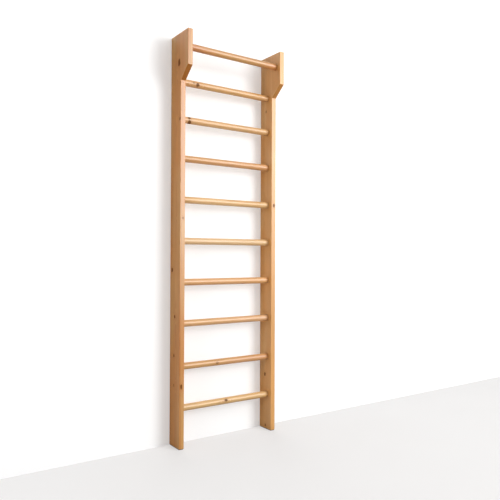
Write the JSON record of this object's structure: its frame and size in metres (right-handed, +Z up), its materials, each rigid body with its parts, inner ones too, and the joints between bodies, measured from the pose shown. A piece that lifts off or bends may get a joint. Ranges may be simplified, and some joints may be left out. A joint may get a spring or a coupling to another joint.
{
  "type": "wooden wall bars",
  "caption": "Tall wooden wall bars: uprights joined by round rungs, with forward heads that carry a pull-up bar, hung on the wall by hidden keyhole plates.",
  "frame": {"origin": "on the floor, midway between the uprights and midway between the wall plane and the head fronts", "axes": "+X to the right along the wall, +Y into the wall, +Z up"},
  "size_m": [0.6, 0.179, 2.1],
  "materials": {
    "pine_board": "satin oiled pine board",
    "pine_dowel": "satin oiled pine dowel",
    "zinc_screw": "bright zinc plated",
    "hanger_steel": "dull zinc plated sheet",
    "felt_pad": "pressed brown felt"
  },
  "bodies": {
    "root": {"left_upright": "pine_board", "right_upright": "pine_board", "rung_1": "pine_dowel", "rung_2": "pine_dowel", "rung_3": "pine_dowel", "rung_4": "pine_dowel", "rung_5": "pine_dowel", "rung_6": "pine_dowel", "rung_7": "pine_dowel", "rung_8": "pine_dowel", "rung_9": "pine_dowel", "pull_up_bar": "pine_dowel", "left_rung_screws": "zinc_screw", "right_rung_screws": "zinc_screw", "bar_screws": "zinc_screw", "upper_left_hanger": "hanger_steel", "upper_right_hanger": "hanger_steel", "lower_left_hanger": "hanger_steel", "lower_right_hanger": "hanger_steel", "hanger_screws": "zinc_screw", "left_foot_pad": "felt_pad", "right_foot_pad": "felt_pad"}
  },
  "joints": []
}
